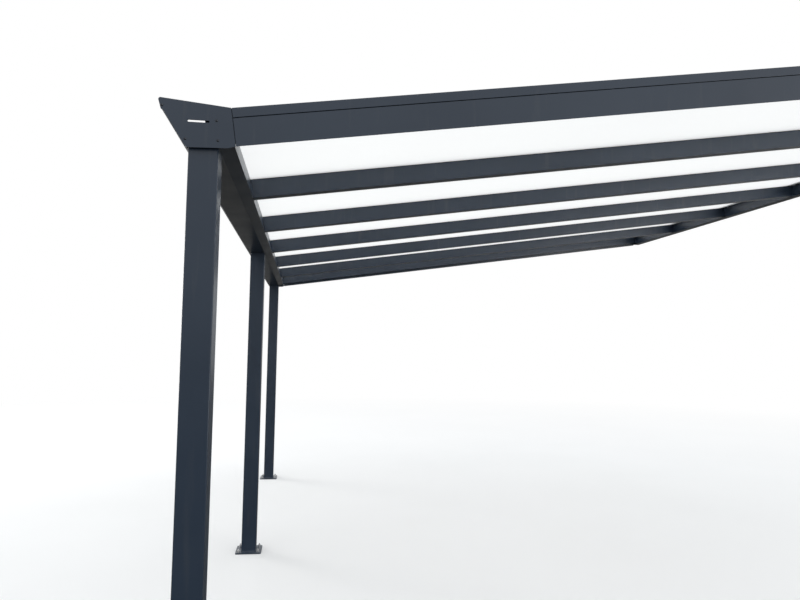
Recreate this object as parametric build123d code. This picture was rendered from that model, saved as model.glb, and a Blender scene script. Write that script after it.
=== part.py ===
from build123d import *

import math
import os

# Lean-to carport in powder-coated aluminium extrusions, all sizes in millimetres.
# +X points at the wall that carries it, +Y runs along the wall away from the front, +Z is up.
# The origin is on the back face of the wall plate, at mid-length and mid-height of that face.

# Overall
projection = 4880.0
roof_slope_deg = 8.4
bay_pitch = 1000.0
end_bay_pitch = 935.0
inner_bays = 4
clear_height = 2400.0

# Rafters
rafter_width = 60.0
rafter_depth = 95.0
rafter_wall = 2.5
end_rafter_lift = 12.0
end_rafter_drop = 15.0
web_width = 10.0
screw_slot_width = 4.0
screw_slot_depth = 22.0

# Roof panels and what seals them
panel_thickness = 32.0
panel_side_gap = 5.0
seal_height = 3.0
seal_width = 8.0
seal_inset = 1.0
panel_overhang = 98.0
panel_wall_gap = 25.0
trim_wall = 1.5
trim_depth = 26.0

# Rafter caps
cap_crown = 3.0
cap_lip = 2.0
cap_groove = 3.0
cap_seal_inset = 6.0

# Gutter beam, measured from its inner bottom edge
edge_rise = 16.0
edge_width = 57.0
bottom_width = 123.0
flare_angle_deg = 32.2
flare_height = 127.0
lip_step_out = 8.5
lip_step_up = 4.5
lip_lean = 10.9
lip_height = 38.5
gutter_wall = 3.0
gutter_floor = 26.5
inner_chamber = 50.0
port_radius = 4.5
port_bore_radius = 2.1
port_root = 2.0
outer_port_inset = 1.5
back_port_drop = 5.0
lip_port_rise = 14.0

# Gutter end plates
plate_thickness = 5.0
plate_margin = 2.4
plate_tip_rise = 6.2
plate_reach = 6.5
plate_drop = 11.0
heel_drop = 6.5
heel_length = 28.0
plate_corner = 7.5
seam_gap = 2.0
slot_length = 81.0
slot_height = 8.6
slot_offset = 131.6
slot_rise = 91.6

# Posts and feet
post_size = 112.0
post_wall = 3.0
post_corner = 4.0
post_setback = 20.0
base_size = 200.0
base_thickness = 10.0
base_corner = 12.0
anchor_spacing = 150.0
anchor_radius = 7.0

# Wall plate and its cover
plate_depth = 76.0
plate_height = 170.0
wall_plate_wall = 3.0
wall_plate_drop = 5.0
wall_cap_thickness = 3.0
fixing_count = 10
fixing_radius = 5.0
fixing_edge = 265.0
fixing_below_top = 14.0
cover_sheet = 2.0
cover_landing = 14.0
cover_past_plate = 64.0
cover_flat = 36.0

# Derived places
slope = math.radians(roof_slope_deg)
rise = math.tan(slope)
length = inner_bays * bay_pitch + 2 * end_bay_pitch + rafter_width
front_y = -length / 2
rafter_count = inner_bays + 3
half_width = rafter_width / 2
seat_level = rafter_depth
panel_level = seat_level + seal_height
panel_top = panel_level + panel_thickness
cap_seat = panel_top + seal_height
cap_top = cap_seat + cap_crown
seam_end = plate_reach + seam_gap
edge_x = -projection
plate_bottom = -plate_height / 2
edge_z = plate_bottom + wall_plate_drop - (projection - plate_depth) * rise
gutter_bottom = edge_z - edge_rise
ground = gutter_bottom - clear_height
post_inner_x = edge_x - edge_width
post_x = post_inner_x - post_size / 2

centres = [front_y + half_width]
centres.append(centres[-1] + end_bay_pitch)
for _ in range(inner_bays):
    centres.append(centres[-1] + bay_pitch)
centres.append(centres[-1] + end_bay_pitch)


def roof_point(u, v):
    """A point u along the slope and v square to it, from the gutter's inner bottom edge."""
    return (
        edge_x + u * math.cos(slope) - v * math.sin(slope),
        edge_z + u * math.sin(slope) + v * math.cos(slope),
    )


def along(x, v):
    """The length u at which the line at height v reaches the plane at x."""
    return (x - edge_x + v * math.sin(slope)) / math.cos(slope)


def box(low, high):
    """A box between two opposite corners."""
    size = [b - a for a, b in zip(low, high)]
    return Pos(*low) * Box(*size, align=(Align.MIN, Align.MIN, Align.MIN))


def face_xz(points, holes=()):
    """A face in the XZ plane at y = 0 from its outline and the outlines of its holes."""
    wire = Wire.make_polygon([Vector(x, 0, z) for x, z in points], close=True)
    inner = [Wire.make_polygon([Vector(x, 0, z) for x, z in hole], close=True) for hole in holes]
    return Face(wire, inner)


def extrude_y(points, y0, y1, holes=()):
    """The outline in XZ, made into a length from y0 to y1."""
    return Pos(0, y0, 0) * extrude(face_xz(points, holes), amount=y1 - y0, dir=(0, 1, 0))


def section_plane(u, y):
    """A plane square to the slope: its x runs along +Y and its y up, away from the roof."""
    x, z = roof_point(u, 0)
    return Plane(origin=(x, y, z), x_dir=(0, 1, 0), z_dir=(math.cos(slope), 0, math.sin(slope)))


def extrude_u(points, u0, u1, y, holes=()):
    """The section, points of (y, v), made into a length along the slope from u0 to u1."""
    wire = Wire.make_polygon([Vector(a, b, 0) for a, b in points], close=True)
    inner = [Wire.make_polygon([Vector(a, b, 0) for a, b in hole], close=True) for hole in holes]
    return section_plane(u0, y) * extrude(Face(wire, inner), amount=u1 - u0, dir=(0, 0, 1))


def rectangle(y0, y1, v0, v1):
    return [(y0, v0), (y1, v0), (y1, v1), (y0, v1)]


def beyond_plumb(x):
    """What lies on the wall's side of the upright plane at x."""
    reach = projection
    return box((x, front_y - reach, ground), (x + reach, -front_y + reach, reach))


def outer_band(index, depth):
    """From which y to which the outermost depth of an end rafter lies, from its centre."""
    side = -1 if index == 0 else 1
    return sorted((side * half_width, side * (half_width - depth)))


def rafter(index):
    """A hollow rafter with a screw web on its back, butted between gutter and wall plate.

    The end ones have a leg down their outer side, and room for the gutter's end plate.
    """
    y = centres[index]
    is_end = index in (0, rafter_count - 1)
    bottom = end_rafter_lift if is_end else 0.0
    end = along(-plate_depth, seat_level) + half_width
    outer = rectangle(-half_width, half_width, bottom, seat_level)
    hollow = rectangle(
        -half_width + rafter_wall,
        half_width - rafter_wall,
        bottom + rafter_wall,
        seat_level - rafter_wall,
    )
    body = extrude_u(outer, 0, end, y, [hollow])
    if is_end:
        low, high = outer_band(index, rafter_wall)
        body = body + extrude_u(rectangle(low, high, -end_rafter_drop, bottom), 0, end, y)
        low, high = outer_band(index, plate_thickness)
        body = body - extrude_u(rectangle(low, high, -end_rafter_drop, seat_level), 0, seam_end, y)
    body = body - beyond_plumb(-plate_depth)
    web_half = web_width / 2
    slot_half = screw_slot_width / 2
    floor = cap_seat - screw_slot_depth
    web_section = [
        (-web_half, seat_level),
        (web_half, seat_level),
        (web_half, cap_seat),
        (slot_half, cap_seat),
        (slot_half, floor),
        (-slot_half, floor),
        (-slot_half, cap_seat),
        (-web_half, cap_seat),
    ]
    web_end = along(-panel_wall_gap, seat_level)
    web = extrude_u(web_section, -panel_overhang, web_end, y)
    web = web - beyond_plumb(-panel_wall_gap)
    return body + web


def cap(index):
    """The cover strip over a rafter; on an end rafter its outer lip comes down to the body."""
    y = centres[index]
    end = along(-panel_wall_gap, panel_top) + half_width
    lip_inner = half_width - cap_lip
    lip_low = panel_top + trim_wall
    section = [
        (-half_width, lip_low),
        (-lip_inner, lip_low),
        (-lip_inner, cap_seat),
        (lip_inner, cap_seat),
        (lip_inner, lip_low),
        (half_width, lip_low),
        (half_width, cap_top),
        (-half_width, cap_top),
    ]
    strip = extrude_u(section, -panel_overhang, end, y)
    if index in (0, rafter_count - 1):
        low, high = outer_band(index, rafter_wall)
        lip_section = rectangle(low, high, seat_level + cap_groove, cap_seat)
        lip = extrude_u(lip_section, seam_end, end, y)
        low, high = outer_band(index, plate_thickness)
        notch = extrude_u(rectangle(low, high, lip_low, cap_top), -panel_overhang, seam_end, y)
        strip = strip - notch + lip
    return strip - beyond_plumb(-panel_wall_gap)


def panel_span(bay):
    """The two sides of the panel in a bay, between the webs of its rafters."""
    gap = web_width / 2 + panel_side_gap
    return centres[bay] + gap, centres[bay + 1] - gap


def panel(bay):
    """One multiwall sheet, made here as its outer shape."""
    y0, y1 = panel_span(bay)
    start = trim_wall - panel_overhang
    end = along(-panel_wall_gap, panel_top)
    sheet = extrude_u(rectangle(0, y1 - y0, panel_level, panel_top), start, end, y0)
    return sheet - beyond_plumb(-panel_wall_gap)


def end_trim(bay):
    """The channel that closes a panel's lower end over the gutter."""
    y0, y1 = panel_span(bay)
    low = panel_level - trim_wall
    high = panel_top + trim_wall
    u0 = -panel_overhang
    legs = [
        (u0, low),
        (u0 + trim_depth, low),
        (u0 + trim_depth, panel_level),
        (u0 + trim_wall, panel_level),
        (u0 + trim_wall, panel_top),
        (u0 + trim_depth, panel_top),
        (u0 + trim_depth, high),
        (u0, high),
    ]
    return extrude_y([roof_point(u, v) for u, v in legs], y0, y1)


def side_seals():
    """The gaskets between the rafters' backs and the panels, two on each inner rafter."""
    strips = []
    end = along(-plate_depth, seat_level)
    for bay in range(rafter_count - 1):
        low = centres[bay] + half_width - seal_inset - seal_width
        high = centres[bay + 1] - half_width + seal_inset
        for y in (low, high):
            section = rectangle(0, seal_width, seat_level, panel_level)
            strips.append(extrude_u(section, 0, end, y))
    return Compound(strips)


def cap_seals():
    """The gaskets between the panels and the caps."""
    strips = []
    end = along(-panel_wall_gap, panel_top)
    for bay in range(rafter_count - 1):
        low = centres[bay] + half_width - cap_seal_inset - seal_width
        high = centres[bay + 1] - half_width + cap_seal_inset
        for y in (low, high):
            section = rectangle(0, seal_width, panel_top, cap_seat)
            strips.append(extrude_u(section, trim_depth - panel_overhang, end, y))
    return Compound(strips)


def cross_seals():
    """The gaskets under the panels on the gutter beam and on the wall plate."""
    strips = []
    for bay in range(rafter_count - 1):
        y0 = centres[bay] + half_width
        y1 = centres[bay + 1] - half_width
        for start in (-inner_chamber / 2, along(-plate_depth / 2, seat_level)):
            corners = [(start, seat_level), (start + seal_width, seat_level)]
            corners += [(start + seal_width, panel_level), (start, panel_level)]
            strips.append(extrude_y([roof_point(u, v) for u, v in corners], y0, y1))
    return Compound(strips)


def flare_x(z):
    """The outer face of the flared gutter wall at a height above the beam's bottom."""
    return edge_x - edge_width - bottom_width - z * math.tan(math.radians(flare_angle_deg))


def gutter_outline():
    """The outer corners of the gutter from its bottom to its lip, going up the flare."""
    bottom_left = (flare_x(0), gutter_bottom)
    flare_top = (flare_x(flare_height), gutter_bottom + flare_height)
    lip_root = (flare_top[0] - lip_step_out, flare_top[1] + lip_step_up)
    lip_tip = (lip_root[0] - lip_lean, lip_root[1] + lip_height)
    return bottom_left, flare_top, lip_root, lip_tip


def gutter_ports():
    """The centres of the four screw ports, each sunk into the wall that carries it."""
    bottom_left, flare_top, lip_root, lip_tip = gutter_outline()
    rooted = port_radius - port_root
    level = gutter_bottom + gutter_floor - gutter_wall - rooted
    chamber = roof_point(-inner_chamber, seat_level)
    lip_port_z = lip_root[1] + lip_port_rise
    lip_inner_x = lip_root[0] - lip_lean * lip_port_rise / lip_height + gutter_wall
    return [
        (bottom_left[0] + outer_port_inset, level),
        (chamber[0] + gutter_wall + rooted, level),
        roof_point(-inner_chamber - rooted, seat_level - back_port_drop),
        (lip_inner_x + rooted, lip_port_z),
    ]


def gutter_beam():
    """One extrusion: two closed chambers, an open water channel, a flared wall and a lip."""
    bottom_left, flare_top, lip_root, lip_tip = gutter_outline()
    t = gutter_wall
    skin = t / math.cos(math.radians(flare_angle_deg))
    floor_z = gutter_bottom + gutter_floor
    top_in = roof_point(0, seat_level)
    top_out = roof_point(-inner_chamber, seat_level)
    outline = [
        bottom_left,
        (post_inner_x, gutter_bottom),
        (edge_x, edge_z),
        top_in,
        top_out,
        (top_out[0], floor_z),
        (flare_x(gutter_floor) + skin, floor_z),
        (flare_x(flare_height) + skin, flare_top[1]),
        (lip_root[0] + t, lip_root[1]),
        (lip_tip[0] + t, lip_tip[1]),
        lip_tip,
        lip_root,
        flare_top,
    ]
    low_chamber = [
        (flare_x(t) + skin, gutter_bottom + t),
        (top_out[0], gutter_bottom + t),
        (top_out[0], floor_z - t),
        (flare_x(gutter_floor - t) + skin, floor_z - t),
    ]
    inner_floor = gutter_bottom + t
    in_corner = roof_point(-t, t)
    in_top = roof_point(-t, seat_level - t)
    high_chamber = [
        (top_out[0] + t, inner_floor),
        (post_inner_x + t, inner_floor),
        in_corner,
        in_top,
        (top_out[0] + t, in_top[1] - (in_top[0] - top_out[0] - t) * rise),
    ]
    y0 = front_y + plate_thickness
    y1 = -y0
    beam = extrude_y(outline, y0, y1, [low_chamber, high_chamber])
    rod = Rot(-90, 0, 0) * Cylinder(port_radius, y1 - y0)
    bore = Rot(-90, 0, 0) * Cylinder(port_bore_radius, y1 - y0)
    for x, z in gutter_ports():
        beam = beam + Pos(x, 0, z) * rod - Pos(x, 0, z) * bore
    return beam


def gutter_end_plate(side):
    """The plate over one end of the gutter, with its overflow slot; side -1 is the front."""
    bottom_left, flare_top, lip_root, lip_tip = gutter_outline()
    seam_low = roof_point(plate_reach, -end_rafter_drop)
    seam_top = roof_point(plate_reach, cap_top)
    margin = plate_margin
    tip_lean = lip_lean * plate_tip_rise / lip_height
    outline = [
        (lip_tip[0] - margin - tip_lean, lip_tip[1] + plate_tip_rise),
        (lip_root[0] - margin, lip_root[1]),
        (flare_top[0] - margin, flare_top[1]),
        (bottom_left[0] - margin, bottom_left[1]),
        (bottom_left[0] - margin + plate_drop, gutter_bottom - plate_drop),
        (seam_low[0] - heel_length, gutter_bottom - heel_drop),
        seam_low,
        seam_top,
    ]
    y0 = front_y if side < 0 else -front_y - plate_thickness
    plate = extrude_y(outline, y0, y0 + plate_thickness)
    corner = plate.edges().filter_by(Axis.Y).sort_by(Axis.X)[0]
    plate = fillet(corner, plate_corner)
    slot = SlotOverall(slot_length, slot_height)
    tool = extrude(Plane.XZ * slot, amount=plate_thickness, both=True)
    slot_y = y0 + plate_thickness / 2
    return plate - Pos(edge_x - slot_offset, slot_y, gutter_bottom + slot_rise) * tool


def post(y0):
    """A square tube with rounded corners, from its foot to the gutter."""
    outer = RectangleRounded(post_size, post_size, post_corner)
    inner = RectangleRounded(
        post_size - 2 * post_wall, post_size - 2 * post_wall, post_corner - post_wall / 2
    )
    tube = extrude(outer - inner, amount=clear_height - base_thickness)
    return Pos(post_x, y0 + post_size / 2, ground + base_thickness) * tube


def post_base(y0):
    """The foot plate with its four anchor holes."""
    plate = extrude(RectangleRounded(base_size, base_size, base_corner), amount=base_thickness)
    holes = GridLocations(anchor_spacing, anchor_spacing, 2, 2)
    plate = plate - holes * Cylinder(anchor_radius, 3 * base_thickness)
    return Pos(post_x, y0 + post_size / 2, ground) * plate


def wall_shelf(x):
    """The height of the sloping shelf that the panels' upper ends rest on."""
    return roof_point(along(x, seat_level), seat_level)[1]


def wall_plate():
    """A closed box against the wall with a sloping top, and a flange that is screwed on."""
    t = wall_plate_wall
    top = plate_bottom + plate_height
    outline = [
        (0, plate_bottom),
        (0, top),
        (-t, top),
        (-t, wall_shelf(-t)),
        (-plate_depth, wall_shelf(-plate_depth)),
        (-plate_depth, plate_bottom),
    ]
    hollow = [
        (-t, plate_bottom + t),
        (-t, wall_shelf(-t) - t),
        (t - plate_depth, wall_shelf(t - plate_depth) - t),
        (t - plate_depth, plate_bottom + t),
    ]
    y0 = front_y + wall_cap_thickness
    body = extrude_y(outline, y0, -y0, [hollow])
    hole = Rot(0, 90, 0) * Cylinder(fixing_radius, 4 * t)
    pitch = (length - 2 * fixing_edge) / (fixing_count - 1)
    for place in GridLocations(1, pitch, 1, fixing_count):
        y = place.position.Y
        body = body - Pos(0, y, top - fixing_below_top) * hole
    return body


def wall_plate_cap(side):
    """The flat cap over one end of the wall plate."""
    outline = [
        (0, plate_bottom),
        (0, plate_bottom + plate_height),
        (-wall_plate_wall, plate_bottom + plate_height),
        (-panel_wall_gap, wall_shelf(-panel_wall_gap)),
        (-plate_depth, wall_shelf(-plate_depth)),
        (-plate_depth, plate_bottom),
    ]
    y0 = front_y if side < 0 else -front_y - wall_cap_thickness
    return extrude_y(outline, y0, y0 + wall_cap_thickness)


def wall_cover():
    """The bent sheet over the panels' upper ends, notched down between the rafter caps."""
    top = plate_bottom + plate_height
    t = cover_sheet
    reach_u = along(-plate_depth - cover_past_plate, cap_top)
    flat_u = reach_u + cover_flat
    fold = roof_point(flat_u, cap_top)
    tip = roof_point(reach_u, cap_top)
    fold_up = roof_point(flat_u, cap_top + t)
    tip_up = roof_point(reach_u, cap_top + t)
    outline = [
        (0, top),
        (-cover_landing, top),
        fold,
        tip,
        tip_up,
        fold_up,
        (-cover_landing - t / 2, top + t),
        (0, top + t),
    ]
    sheet = extrude_y(outline, front_y, -front_y)
    for bay in range(rafter_count - 1):
        y0 = centres[bay] + half_width
        y1 = centres[bay + 1] - half_width
        corners = [(reach_u, panel_top), (reach_u + t, panel_top)]
        corners += [(reach_u + t, cap_top), (reach_u, cap_top)]
        sheet = sheet + extrude_y([roof_point(u, v) for u, v in corners], y0, y1)
    return sheet


def build():
    """Every node by name."""
    nodes = {
        "wall_plate": wall_plate(),
        "wall_plate_cap_front": wall_plate_cap(-1),
        "wall_plate_cap_rear": wall_plate_cap(1),
        "wall_cover": wall_cover(),
        "gutter_beam": gutter_beam(),
        "gutter_end_plate_front": gutter_end_plate(-1),
        "gutter_end_plate_rear": gutter_end_plate(1),
        "panel_side_seals": side_seals(),
        "panel_cross_seals": cross_seals(),
        "cap_seals": cap_seals(),
    }
    post_rows = {
        "front": front_y + post_setback,
        "middle": -post_size / 2,
        "rear": -front_y - post_setback - post_size,
    }
    for name, y0 in post_rows.items():
        nodes[f"post_{name}"] = post(y0)
        nodes[f"post_base_{name}"] = post_base(y0)
    for index in range(rafter_count):
        nodes[f"rafter_{index + 1}"] = rafter(index)
        nodes[f"rafter_cap_{index + 1}"] = cap(index)
    for bay in range(rafter_count - 1):
        nodes[f"roof_panel_{bay + 1}"] = panel(bay)
        nodes[f"panel_end_trim_{bay + 1}"] = end_trim(bay)
    return nodes


os.makedirs("parts", exist_ok=True)
for node, shape in build().items():
    export_step(shape, f"parts/{node}.step")
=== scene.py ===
import math

import bmesh
import bpy
from mathutils import Matrix, Vector


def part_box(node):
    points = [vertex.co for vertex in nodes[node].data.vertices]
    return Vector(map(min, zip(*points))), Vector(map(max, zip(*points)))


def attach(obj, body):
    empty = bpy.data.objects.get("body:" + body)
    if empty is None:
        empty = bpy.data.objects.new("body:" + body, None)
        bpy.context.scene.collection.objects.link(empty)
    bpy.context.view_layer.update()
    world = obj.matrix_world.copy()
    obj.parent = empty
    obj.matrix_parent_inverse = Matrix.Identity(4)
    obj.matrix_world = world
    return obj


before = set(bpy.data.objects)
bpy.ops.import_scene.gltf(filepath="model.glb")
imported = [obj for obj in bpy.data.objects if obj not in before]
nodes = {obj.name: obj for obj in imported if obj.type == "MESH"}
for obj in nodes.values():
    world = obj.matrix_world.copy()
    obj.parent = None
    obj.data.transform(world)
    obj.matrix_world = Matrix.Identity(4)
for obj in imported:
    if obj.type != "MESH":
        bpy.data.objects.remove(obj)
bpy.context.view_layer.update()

# Lean-to carport in anthracite powder coat with opal roof sheets, all sizes in metres.

BODY = "root"
SHARP_ANGLE = math.radians(35)

# The roof's slope frame, as the solids have it, with heights square to the slope
SLOPE = math.radians(8.4)
UP_ROOF = Vector((math.cos(SLOPE), 0, math.sin(SLOPE)))
OFF_ROOF = Vector((-math.sin(SLOPE), 0, math.cos(SLOPE)))
EDGE_RISE = 0.016
EDGE_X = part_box("gutter_beam")[1].x
EDGE_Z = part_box("gutter_beam")[0].z + EDGE_RISE
SEAT = 0.095
CAP_TOP = 0.136

# Other places that the solids give
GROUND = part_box("post_base_front")[0].z
FRONT_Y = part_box("gutter_end_plate_front")[0].y
COVER_HALF_LENGTH = -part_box("wall_cover")[0].y
RAFTER_COUNT = sum(name.startswith("rafter_cap_") for name in nodes)


def roof_point(u, v, y):
    """A point u along the slope and v square to it, from the gutter's inner bottom edge."""
    return Vector((EDGE_X, y, EDGE_Z)) + UP_ROOF * u + OFF_ROOF * v


def along(x, v):
    """The length u at which the line at height v reaches the plane at x."""
    return (x - EDGE_X + v * math.sin(SLOPE)) / math.cos(SLOPE)


# Camera, as fitted to the roof's lines, its place from the gutter's edge, the front and the ground
FOCAL_PIXELS = 647.28
FRAME_PIXELS = 800
SENSOR = 36.0
CAMERA_YAW = math.radians(8.31)
CAMERA_PITCH = math.radians(4.11)
CAMERA_ROLL = math.radians(0.87)
CAMERA_INSIDE = 0.287
CAMERA_BEFORE = 2.483
CAMERA_HEIGHT = 1.652
NEAREST_SEEN = 0.05
FARTHEST_SEEN = 200.0


def make_camera():
    data = bpy.data.cameras.new("camera")
    camera = bpy.data.objects.new("camera", data)
    bpy.context.scene.collection.objects.link(camera)
    data.sensor_width = SENSOR
    data.lens = FOCAL_PIXELS * SENSOR / FRAME_PIXELS
    data.clip_start = NEAREST_SEEN
    data.clip_end = FARTHEST_SEEN
    forward = Vector(
        (
            math.sin(CAMERA_YAW) * math.cos(CAMERA_PITCH),
            math.cos(CAMERA_YAW) * math.cos(CAMERA_PITCH),
            math.sin(CAMERA_PITCH),
        )
    )
    level = Vector((math.cos(CAMERA_YAW), -math.sin(CAMERA_YAW), 0))
    upright = level.cross(forward)
    right = math.cos(CAMERA_ROLL) * level + math.sin(CAMERA_ROLL) * upright
    up = math.cos(CAMERA_ROLL) * upright - math.sin(CAMERA_ROLL) * level
    place = Vector((EDGE_X + CAMERA_INSIDE, FRONT_Y - CAMERA_BEFORE, GROUND + CAMERA_HEIGHT))
    turn = Matrix((right, up, -forward)).transposed().to_4x4()
    camera.matrix_world = Matrix.Translation(place) @ turn
    bpy.context.scene.camera = camera


# Shader nodes
def new_material(name):
    made = bpy.data.materials.new(name)
    made.use_nodes = True
    tree = made.node_tree
    return made, tree, tree.nodes["Principled BSDF"]


def add_node(tree, kind, inputs=None, **settings):
    """A node with its settings, and its sockets set to numbers or linked to other sockets."""
    node = tree.nodes.new(kind)
    for key, value in settings.items():
        setattr(node, key, value)
    for key, value in (inputs or {}).items():
        if isinstance(value, bpy.types.NodeSocket):
            tree.links.new(value, node.inputs[key])
        else:
            node.inputs[key].default_value = value
    return node


def position(tree, axes=(1, 1, 1)):
    """The place in the part's frame, scaled along each axis."""
    coordinates = add_node(tree, "ShaderNodeTexCoord")
    mapping = add_node(
        tree, "ShaderNodeMapping", {"Vector": coordinates.outputs["Object"], "Scale": axes}
    )
    return mapping.outputs["Vector"]


def noise(tree, scale, detail, axes=(1, 1, 1)):
    made = add_node(
        tree,
        "ShaderNodeTexNoise",
        {"Vector": position(tree, axes), "Scale": scale, "Detail": detail},
    )
    return made.outputs["Fac"]


def remap(tree, value, low, high, out_low, out_high):
    made = add_node(
        tree,
        "ShaderNodeMapRange",
        {
            "Value": value,
            "From Min": low,
            "From Max": high,
            "To Min": out_low,
            "To Max": out_high,
        },
    )
    return made.outputs["Result"]


# The range that holds most of a noise's values
NOISE_SPAN = (0.3, 0.7)


def patches(tree, scale, detail, low=0.0, high=1.0, span=NOISE_SPAN, axes=(1, 1, 1)):
    """Soft random patches, from low to high as the noise goes over its span."""
    return remap(tree, noise(tree, scale, detail, axes), *span, low, high)


def math_node(tree, operation, first, second=0.0):
    made = add_node(tree, "ShaderNodeMath", {0: first, 1: second}, operation=operation)
    return made.outputs["Value"]


# A mix node's sockets for colours
MIX_SHARE = 0
MIX_FIRST = 6
MIX_SECOND = 7
MIX_RESULT = 2


def mix_colour(tree, share, first, second):
    sockets = {MIX_SHARE: share, MIX_FIRST: first, MIX_SECOND: second}
    made = add_node(tree, "ShaderNodeMix", sockets, data_type="RGBA")
    return made.outputs[MIX_RESULT]


def mix_shaders(tree, share, first, second, output):
    """Mixes two shaders by the share of the second, for the output's surface."""
    mixed = add_node(tree, "ShaderNodeMixShader", {0: share, 1: first, 2: second})
    tree.links.new(mixed.outputs["Shader"], output.inputs["Surface"])


def bump(tree, height, distance, strength):
    made = add_node(
        tree, "ShaderNodeBump", {"Height": height, "Distance": distance, "Strength": strength}
    )
    return made.outputs["Normal"]


# Powder coat
COAT_DARK = (0.023, 0.037, 0.061, 1)
COAT_LIGHT = (0.030, 0.046, 0.073, 1)
DUST = (0.16, 0.155, 0.14, 1)
MOST_DUST = 0.34
DUST_SPAN = (0.40, 0.80)
MOST_STREAK = 0.12
STREAK_SPAN = (0.58, 0.80)
STREAK_AXES = (4, 4, 0.35)
STEEP = 0.3
LEVEL = 0.9


def facing_up(tree):
    """How well dust can settle on the surface, from 0 on walls to 1 on level tops."""
    geometry = add_node(tree, "ShaderNodeNewGeometry")
    parts = add_node(tree, "ShaderNodeSeparateXYZ", {"Vector": geometry.outputs["True Normal"]})
    return remap(tree, parts.outputs["Z"], STEEP, LEVEL, 0.0, 1.0)


def powder_coat():
    """Fine matt anthracite coat: cloudy tone, orange peel, rain marks and a little dust on tops."""
    made, tree, shader = new_material("anthracite_powder_coat")
    cloud = patches(tree, scale=1.6, detail=4.0)
    coat = mix_colour(tree, cloud, COAT_DARK, COAT_LIGHT)
    speckle = patches(tree, scale=140.0, detail=5.0, high=MOST_DUST, span=DUST_SPAN)
    settled = math_node(tree, "MULTIPLY", facing_up(tree), speckle)
    streak = patches(
        tree, scale=7.0, detail=5.0, high=MOST_STREAK, span=STREAK_SPAN, axes=STREAK_AXES
    )
    marked = mix_colour(tree, streak, coat, DUST)
    tree.links.new(mix_colour(tree, settled, marked, DUST), shader.inputs["Base Color"])
    rough = patches(tree, scale=5.0, detail=3.0, low=0.28, high=0.35)
    tree.links.new(rough, shader.inputs["Roughness"])
    peel = noise(tree, scale=1100.0, detail=1.0)
    tree.links.new(bump(tree, peel, distance=0.00012, strength=0.6), shader.inputs["Normal"])
    return made


# Opal multiwall sheets
WEB_PITCH = 0.020
WEB_START = 0.80
WEB_SHADE = 0.6
TRANSLUCENT_SHARE = 0.97
SHEET_LIGHT = (0.985, 0.992, 0.992, 1)
SHEET_SHADE = (0.945, 0.955, 0.96, 1)


def opal_sheet():
    """Opal sheet that lets light through, its inner webs faint lines along the slope."""
    made, tree, shader = new_material("opal_multiwall")
    turn = 2 * math.pi / WEB_PITCH
    across = add_node(tree, "ShaderNodeSeparateXYZ", {"Vector": position(tree)}).outputs["Y"]
    wave = math_node(tree, "COSINE", math_node(tree, "MULTIPLY", across, turn))
    web = remap(tree, wave, WEB_START, 1.0, 0.0, 1.0)
    cloud = patches(tree, scale=0.9, detail=3.0, high=0.25)
    share = math_node(tree, "ADD", math_node(tree, "MULTIPLY", web, WEB_SHADE), cloud)
    colour = mix_colour(tree, share, SHEET_LIGHT, SHEET_SHADE)
    tree.links.new(colour, shader.inputs["Base Color"])
    rough = patches(tree, scale=30.0, detail=2.0, low=0.34, high=0.46)
    tree.links.new(rough, shader.inputs["Roughness"])
    tree.links.new(bump(tree, wave, distance=0.0003, strength=0.5), shader.inputs["Normal"])
    glow = add_node(tree, "ShaderNodeBsdfTranslucent", {"Color": colour}).outputs["BSDF"]
    output = tree.nodes["Material Output"]
    mix_shaders(tree, TRANSLUCENT_SHARE, shader.outputs["BSDF"], glow, output)
    return made


# Gasket rubber
RUBBER_DARK = (0.010, 0.010, 0.011, 1)
RUBBER_LIGHT = (0.022, 0.022, 0.023, 1)
RUBBER_ROUGH = 0.7


def seal_rubber():
    made, tree, shader = new_material("gasket_rubber")
    grain = patches(tree, scale=160.0, detail=2.0)
    colour = mix_colour(tree, grain, RUBBER_DARK, RUBBER_LIGHT)
    tree.links.new(colour, shader.inputs["Base Color"])
    tree.links.new(bump(tree, grain, distance=0.0002, strength=0.4), shader.inputs["Normal"])
    shader.inputs["Roughness"].default_value = RUBBER_ROUGH
    return made


# Plated steel
ZINC_DARK = (0.42, 0.43, 0.44, 1)
ZINC_LIGHT = (0.58, 0.59, 0.60, 1)
BLACK_DARK = (0.055, 0.060, 0.070, 1)
BLACK_LIGHT = (0.085, 0.092, 0.105, 1)
MOTTLE_SPAN = (0.35, 0.65)
SCRATCH_AXES = (1, 1, 0.1)


def plated_steel(name, dark, light, smoothest, roughest):
    """Steel with a mottled plating and fine scratches."""
    made, tree, shader = new_material(name)
    mottle = patches(tree, scale=240.0, detail=4.0, span=MOTTLE_SPAN)
    tree.links.new(mix_colour(tree, mottle, dark, light), shader.inputs["Base Color"])
    rough = remap(tree, mottle, 0.0, 1.0, smoothest, roughest)
    tree.links.new(rough, shader.inputs["Roughness"])
    scratch = noise(tree, scale=900.0, detail=2.0, axes=SCRATCH_AXES)
    tree.links.new(bump(tree, scratch, distance=0.00005, strength=0.5), shader.inputs["Normal"])
    shader.inputs["Metallic"].default_value = 1.0
    return made


def set_material(piece, material):
    piece.data.materials.clear()
    piece.data.materials.append(material)


# Meshes that are built here
def join_rings(mesh, first, second):
    """The faces between two rings with equally many points."""
    for step in range(len(first)):
        after = (step + 1) % len(first)
        mesh.faces.new((first[step], first[after], second[after], second[step]))


def close_ends(mesh, rings):
    mesh.faces.new(reversed(rings[0]))
    mesh.faces.new(rings[-1])


def lathe(mesh, profile, steps, place, turn=0.0):
    """Turns the profile, points of (radius, height), about the place's Z axis."""
    rings = []
    for radius, height in profile:
        ring = []
        for step in range(steps):
            angle = turn + 2 * math.pi * step / steps
            point = Vector((radius * math.cos(angle), radius * math.sin(angle), height))
            ring.append(mesh.verts.new(place @ point))
        rings.append(ring)
    for low, high in zip(rings, rings[1:]):
        join_rings(mesh, low, high)
    close_ends(mesh, rings)


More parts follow.
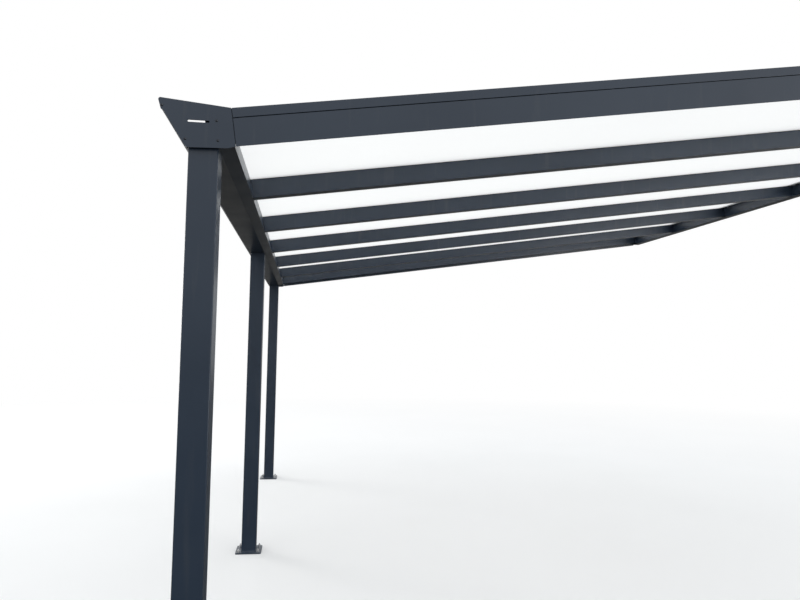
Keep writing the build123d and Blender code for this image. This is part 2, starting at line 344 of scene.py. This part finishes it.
def hexagon(mesh, across, low, high, chamfer, place, turn):
    """A hexagonal prism, its upper corners chamfered."""
    corner = across / math.sqrt(3)
    profile = [(corner, low), (corner, high - chamfer), (corner - chamfer, high)]
    lathe(mesh, profile, 6, place, turn)


def finish_piece(name, mesh, material, smooth_angle=SHARP_ANGLE):
    """Makes the mesh a piece of the part, smooth between faces that meet at a small angle."""
    data = bpy.data.meshes.new(name)
    bmesh.ops.recalc_face_normals(mesh, faces=mesh.faces)
    mesh.to_mesh(data)
    mesh.free()
    piece = bpy.data.objects.new(name, data)
    bpy.context.scene.collection.objects.link(piece)
    data.materials.append(material)
    data.shade_smooth()
    bpy.context.view_layer.objects.active = piece
    piece.select_set(True)
    bpy.ops.object.shade_smooth_by_angle(angle=smooth_angle)
    piece.select_set(False)
    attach(piece, BODY)
    return piece


def frame_at(point, axis):
    """A place whose Z axis points along the given direction."""
    return Matrix.Translation(point) @ axis.to_track_quat("Z", "Y").to_matrix().to_4x4()


# Roof screws, with heights above the cap
SCREW_SPACING = 0.40
SCREW_FIRST = -0.065
SCREW_END_GAP = 0.20
SCREW_STEPS = 16
WASHER_PROFILE = ((0.0086, 0.0), (0.0090, 0.0008), (0.0082, 0.0020))
FLANGE_PROFILE = ((0.0080, 0.0020), (0.0080, 0.0027), (0.0052, 0.0036))
HEAD_ACROSS = 0.008
HEAD_BOTTOM = 0.0034
HEAD_TOP = 0.0080
HEAD_CHAMFER = 0.0007
HEAD_TURN = 0.15
HEAD_TURNS = 7
TURNS_PER_CAP = 5
TURNS_PER_SCREW = 3


def roof_screw(mesh, washers, place, turn):
    """A hexagon head with a pressed flange; its sealing washer goes to a mesh of its own."""
    lathe(washers, WASHER_PROFILE, SCREW_STEPS, place)
    lathe(mesh, FLANGE_PROFILE, SCREW_STEPS, place)
    hexagon(mesh, HEAD_ACROSS, HEAD_BOTTOM, HEAD_TOP, HEAD_CHAMFER, place, turn)


def roof_screws(steel, rubber):
    """A row of screws along each cap, their heads turned by different angles."""
    heads = bmesh.new()
    washers = bmesh.new()
    span = -EDGE_X / math.cos(SLOPE) - SCREW_FIRST - SCREW_END_GAP
    count = round(span / SCREW_SPACING)
    for index in range(RAFTER_COUNT):
        low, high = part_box(f"rafter_cap_{index + 1}")
        y = (low.y + high.y) / 2
        for step in range(count + 1):
            u = SCREW_FIRST + span * step / count
            turn = (index * TURNS_PER_CAP + step * TURNS_PER_SCREW) % HEAD_TURNS * HEAD_TURN
            roof_screw(heads, washers, frame_at(roof_point(u, CAP_TOP, y), OFF_ROOF), turn)
    finish_piece("roof_screws", heads, steel)
    finish_piece("roof_screw_washers", washers, rubber)


# Screws of the gutter's end plates, their places from the beam's inner bottom edge
PORT_PLACES = ((-0.1785, 0.0050), (-0.0578, 0.0050), (-0.0651, 0.0814), (-0.2670, 0.1295))
PAN_STEPS = 18
PAN_PROFILE = (
    (0.0048, 0.0),
    (0.0048, 0.0010),
    (0.0044, 0.0020),
    (0.0034, 0.0028),
    (0.0022, 0.0031),
    (0.0021, 0.0031),
    (0.0019, 0.0012),
)


def end_plate_screws(steel):
    """Pan heads with a sunk drive, over the beam's screw ports."""
    mesh = bmesh.new()
    for y, side in ((FRONT_Y, -1), (-FRONT_Y, 1)):
        for x, z in PORT_PLACES:
            point = Vector((EDGE_X + x, y, EDGE_Z + z))
            lathe(mesh, PAN_PROFILE, PAN_STEPS, frame_at(point, Vector((0, side, 0))))
    finish_piece("end_plate_screws", mesh, steel)


# Anchors of the feet, with heights above the foot plate
ANCHOR_HALF_SPACING = 0.075
ANCHOR_WASHER_PROFILE = ((0.0120, 0.0), (0.0120, 0.0022), (0.0116, 0.0025))
ANCHOR_WASHER_STEPS = 24
NUT_ACROSS = 0.019
NUT_BOTTOM = 0.0025
NUT_TOP = 0.0128
NUT_CHAMFER = 0.0012
NUT_FIRST_TURN = 0.3
NUT_TURN = 0.7
STUD_STEPS = 16
STUD_RADIUS = 0.0060
STUD_TIP_RADIUS = 0.0047
STUD_BOTTOM = 0.0120
STUD_SHOULDER = 0.0225
STUD_TOP = 0.0238
THREAD_START = 0.0135
THREAD_PITCH = 0.00175
THREAD_TURNS = 5
ROOT_RADIUS = 0.0053
CREST_TO_ROOT = 0.0009


def anchor(mesh, place, turn):
    """A washer, a nut and the end of a threaded stud."""
    lathe(mesh, ANCHOR_WASHER_PROFILE, ANCHOR_WASHER_STEPS, place)
    hexagon(mesh, NUT_ACROSS, NUT_BOTTOM, NUT_TOP, NUT_CHAMFER, place, turn)
    thread = [(STUD_RADIUS, STUD_BOTTOM)]
    for step in range(THREAD_TURNS):
        height = THREAD_START + THREAD_PITCH * step
        thread += [(STUD_RADIUS, height), (ROOT_RADIUS, height + CREST_TO_ROOT)]
    thread += [(STUD_RADIUS, STUD_SHOULDER), (STUD_TIP_RADIUS, STUD_TOP)]
    lathe(mesh, thread, STUD_STEPS, place)


def foot_anchors(name, steel):
    """Four anchors on a foot plate, their nuts turned by different angles."""
    low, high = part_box(f"post_base_{name}")
    centre = (low + high) / 2
    mesh = bmesh.new()
    for index, (sx, sy) in enumerate(((-1, -1), (-1, 1), (1, -1), (1, 1))):
        x = centre.x + sx * ANCHOR_HALF_SPACING
        y = centre.y + sy * ANCHOR_HALF_SPACING
        place = frame_at(Vector((x, y, high.z)), Vector((0, 0, 1)))
        anchor(mesh, place, NUT_FIRST_TURN + NUT_TURN * index)
    finish_piece(f"foot_anchors_{name}", mesh, steel)


# Weld beads of the feet, with reaches off the post's side
WELD_SIZE = 0.005
WELD_ROOT = 0.001
WELD_OVERLAP = 0.0004
WELD_BULGE = 0.12
WELD_FLATNESS = 1.6
WELD_SECTION_STEPS = 5
WELD_STRAIGHT_STEPS = 56
WELD_ARC_STEPS = 4
WELD_SMOOTH_ANGLE = math.radians(60)
RIPPLE = 0.10
RIPPLE_RATE = 2.1
WANDER = 0.05
WANDER_RATE = 0.37
POST_CORNER = 0.004


def rounded_square(half, corner, arc_steps, straight_steps):
    """Points and outward directions round a square with rounded corners."""
    made = []
    for quarter in range(4):
        turn = Matrix.Rotation(quarter * math.pi / 2, 2)
        for step in range(straight_steps):
            y = (half - corner) * (2 * step / straight_steps - 1)
            made.append((turn @ Vector((half, y)), turn @ Vector((1, 0))))
        for step in range(arc_steps):
            angle = math.pi / 2 * step / arc_steps
            way = Vector((math.cos(angle), math.sin(angle)))
            centre = Vector((half - corner, half - corner))
            made.append((turn @ (centre + corner * way), turn @ way))
    return made


def weld_section(size):
    """The bead's outline, points of reach off the post and height over the foot plate."""
    section = []
    for step in range(WELD_SECTION_STEPS + 1):
        angle = math.pi / 2 * step / WELD_SECTION_STEPS
        radius = size * (1 + WELD_BULGE * math.sin(2 * angle))
        reach = radius * math.cos(angle) ** WELD_FLATNESS - WELD_OVERLAP
        section.append((reach, radius * math.sin(angle) ** WELD_FLATNESS))
    section.append((-WELD_ROOT, 0.0))
    return section


def foot_weld(name, material):
    """A rippled fillet bead between a post and its foot plate."""
    low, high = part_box(f"post_{name}")
    centre = (low + high) / 2
    half = (high.x - low.x) / 2
    path = rounded_square(half, POST_CORNER, WELD_ARC_STEPS, WELD_STRAIGHT_STEPS)
    mesh = bmesh.new()
    rings = []
    for index, (point, way) in enumerate(path):
        ripple = RIPPLE * math.sin(index * RIPPLE_RATE) + WANDER * math.sin(index * WANDER_RATE)
        ring = []
        for reach, height in weld_section(WELD_SIZE * (1 + ripple)):
            spot = point + way * reach
            ring.append(mesh.verts.new((centre.x + spot.x, centre.y + spot.y, low.z + height)))
        rings.append(ring)
    for ring, after in zip(rings, rings[1:] + rings[:1]):
        join_rings(mesh, ring, after)
    piece_name = f"foot_weld_{name}"
    finish_piece(piece_name, mesh, material, WELD_SMOOTH_ANGLE)


# Edges of the extrusions and of the thin wall cover
EDGE_RADIUS = 0.0010
COVER_EDGE_RADIUS = 0.0007
MERGE_DISTANCE = 0.00001


def soften_edges(piece, radius):
    """Rounds the sharp edges, after points that lie in one place are joined."""
    weld = piece.modifiers.new("weld", "WELD")
    weld.merge_threshold = MERGE_DISTANCE
    bevel = piece.modifiers.new("bevel", "BEVEL")
    bevel.width = radius
    bevel.segments = 2
    bevel.loop_slide = False
    bevel.limit_method = "ANGLE"
    bevel.angle_limit = SHARP_ANGLE
    bevel.harden_normals = True


# Foam in the ends of the wall cover
COVER_TIP_X = -0.140
COVER_FLAT = 0.036
COVER_LANDING = 0.014
PANEL_WALL_GAP = 0.025
PLATE_FLANGE = 0.003
FOAM_INSET = 0.005
FOAM_DEPTH = 0.022


def cover_foam(name, side, rubber):
    """The closed-cell filler between the wall cover and what lies under its end."""
    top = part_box("wall_plate")[1].z
    outline = [
        roof_point(along(COVER_TIP_X, CAP_TOP) + COVER_FLAT, CAP_TOP, 0),
        roof_point(along(-PANEL_WALL_GAP, CAP_TOP), CAP_TOP, 0),
        roof_point(along(-PANEL_WALL_GAP, SEAT), SEAT, 0),
        roof_point(along(-PLATE_FLANGE, SEAT), SEAT, 0),
        Vector((-PLATE_FLANGE, 0, top)),
        Vector((-COVER_LANDING, 0, top)),
    ]
    outer = side * (COVER_HALF_LENGTH - FOAM_INSET)
    inner = outer - side * FOAM_DEPTH
    mesh = bmesh.new()
    rings = [[mesh.verts.new((p.x, y, p.z)) for p in outline] for y in (outer, inner)]
    join_rings(mesh, *rings)
    close_ends(mesh, rings)
    piece = finish_piece(name, mesh, rubber)
    soften_edges(piece, EDGE_RADIUS)


# The sky as a light, from its horizon up to where it is brightest
SKY_COLOUR = (0.95, 0.98, 1.0, 1)
HORIZON_LIGHT = 0.45
HIGH_LIGHT = 1.17
HIGH_CLIMB = 0.5
WHITE = (1, 1, 1, 1)


def make_world():
    """White to the camera and through the sheets; as a light a pale sky, dimmer low down.

    In reflections it rises from the horizon's brightness to white.
    """
    world = bpy.data.worlds.new("studio")
    bpy.context.scene.world = world
    world.use_nodes = True
    tree = world.node_tree
    tree.nodes.clear()
    rays = add_node(tree, "ShaderNodeLightPath")
    way = add_node(tree, "ShaderNodeTexCoord").outputs["Generated"]
    climb = add_node(tree, "ShaderNodeSeparateXYZ", {"Vector": way}).outputs["Z"]
    strength = remap(tree, climb, 0.0, HIGH_CLIMB, HORIZON_LIGHT, HIGH_LIGHT)
    above = remap(tree, climb, 0.0, HIGH_CLIMB, 0.0, 1.0)
    mirrored = math_node(tree, "MULTIPLY", rays.outputs["Is Glossy Ray"], above)
    through = math_node(tree, "MAXIMUM", mirrored, rays.outputs["Is Transmission Ray"])
    seen = math_node(tree, "MAXIMUM", rays.outputs["Is Camera Ray"], through)
    light = add_node(tree, "ShaderNodeBackground", {"Color": SKY_COLOUR, "Strength": strength})
    white = add_node(tree, "ShaderNodeBackground", {"Color": WHITE, "Strength": 1.0})
    output = add_node(tree, "ShaderNodeOutputWorld")
    mix_shaders(tree, seen, light.outputs["Background"], white.outputs["Background"], output)


# Floor, with distances from a point under the part's middle
FLOOR_REACH = 60.0
FLOOR_CENTRE = (-2.5, 0.0, 0.0)
FADE_START = 4.5
FADE_END = 16.0
LEAST_FADE = 0.20
FLOOR_PALE = (0.80, 0.80, 0.80, 1)
FLOOR_PALEST = (0.83, 0.83, 0.83, 1)
FLOOR_BOUNCE = (0.070, 0.067, 0.062, 1)
FLOOR_ROUGH = 0.9
FLOOR_SHEEN = 0.1


def make_floor():
    """A pale floor that keeps the shadow, and turns into the white background further out.

    It throws little light back. In reflections it is dark near the part, and far out as bright
    as the horizon.
    """
    bpy.ops.mesh.primitive_plane_add(size=2 * FLOOR_REACH, location=(0, 0, GROUND))
    floor = bpy.context.object
    floor.name = "floor"
    made, tree, shader = new_material("pale_floor")
    rays = add_node(tree, "ShaderNodeLightPath")
    pale = mix_colour(tree, patches(tree, scale=0.4, detail=3.0), FLOOR_PALE, FLOOR_PALEST)
    seen = math_node(
        tree, "MAXIMUM", rays.outputs["Is Camera Ray"], rays.outputs["Is Transmission Ray"]
    )
    tree.links.new(mix_colour(tree, seen, FLOOR_BOUNCE, pale), shader.inputs["Base Color"])
    shader.inputs["Roughness"].default_value = FLOOR_ROUGH
    shader.inputs["Specular IOR Level"].default_value = FLOOR_SHEEN
    place = add_node(tree, "ShaderNodeTexCoord").outputs["Object"]
    away = add_node(
        tree, "ShaderNodeVectorMath", {0: place, 1: FLOOR_CENTRE}, operation="DISTANCE"
    ).outputs["Value"]
    fade = remap(tree, away, FADE_START, FADE_END, LEAST_FADE, 1.0)
    shown = math_node(tree, "MULTIPLY", fade, seen)
    far = remap(tree, away, FADE_END, FLOOR_REACH, 0.0, HORIZON_LIGHT)
    mirrored = math_node(tree, "MULTIPLY", far, rays.outputs["Is Glossy Ray"])
    share = math_node(tree, "MAXIMUM", shown, mirrored)
    white = add_node(tree, "ShaderNodeEmission", {"Color": WHITE, "Strength": 1.0})
    output = tree.nodes["Material Output"]
    mix_shaders(tree, share, shader.outputs["BSDF"], white.outputs["Emission"], output)
    made.cycles.emission_sampling = "NONE"
    set_material(floor, made)


# Lamps
LAMP_COLOUR = (1.0, 0.98, 0.95)


def make_lamp(name, place, aim, size, power):
    data = bpy.data.lights.new(name, "AREA")
    data.shape = "DISK"
    data.size = size
    data.energy = power
    data.color = LAMP_COLOUR
    lamp = bpy.data.objects.new(name, data)
    bpy.context.scene.collection.objects.link(lamp)
    lamp.location = place
    lamp.rotation_mode = "QUATERNION"
    lamp.rotation_quaternion = (Vector(aim) - Vector(place)).to_track_quat("-Z", "Y")


def make_stage():
    bpy.context.scene.view_settings.view_transform = "Standard"
    make_camera()
    make_world()
    make_floor()
    make_lamp(
        "front_light", place=(7.6, -14.8, -1.0), aim=(-2.0, -2.0, -0.5), size=4.2, power=680.0
    )
    make_lamp(
        "side_light", place=(-15.0, 8.5, 0.3), aim=(-4.0, 0.0, -0.8), size=6.0, power=780.0
    )


def main():
    make_stage()
    coat = powder_coat()
    sheet = opal_sheet()
    rubber = seal_rubber()
    zinc = plated_steel("zinc_steel", ZINC_DARK, ZINC_LIGHT, smoothest=0.28, roughest=0.42)
    black = plated_steel("black_steel", BLACK_DARK, BLACK_LIGHT, smoothest=0.30, roughest=0.45)
    for name, piece in nodes.items():
        if name.startswith("roof_panel"):
            set_material(piece, sheet)
        elif name.endswith("seals"):
            set_material(piece, rubber)
        else:
            set_material(piece, coat)
            soften_edges(piece, COVER_EDGE_RADIUS if name == "wall_cover" else EDGE_RADIUS)

    roof_screws(zinc, rubber)
    end_plate_screws(black)
    cover_foam("cover_foam_front", -1, rubber)
    cover_foam("cover_foam_rear", 1, rubber)
    for name in ("front", "middle", "rear"):
        foot_anchors(name, zinc)
        foot_weld(name, coat)


main()
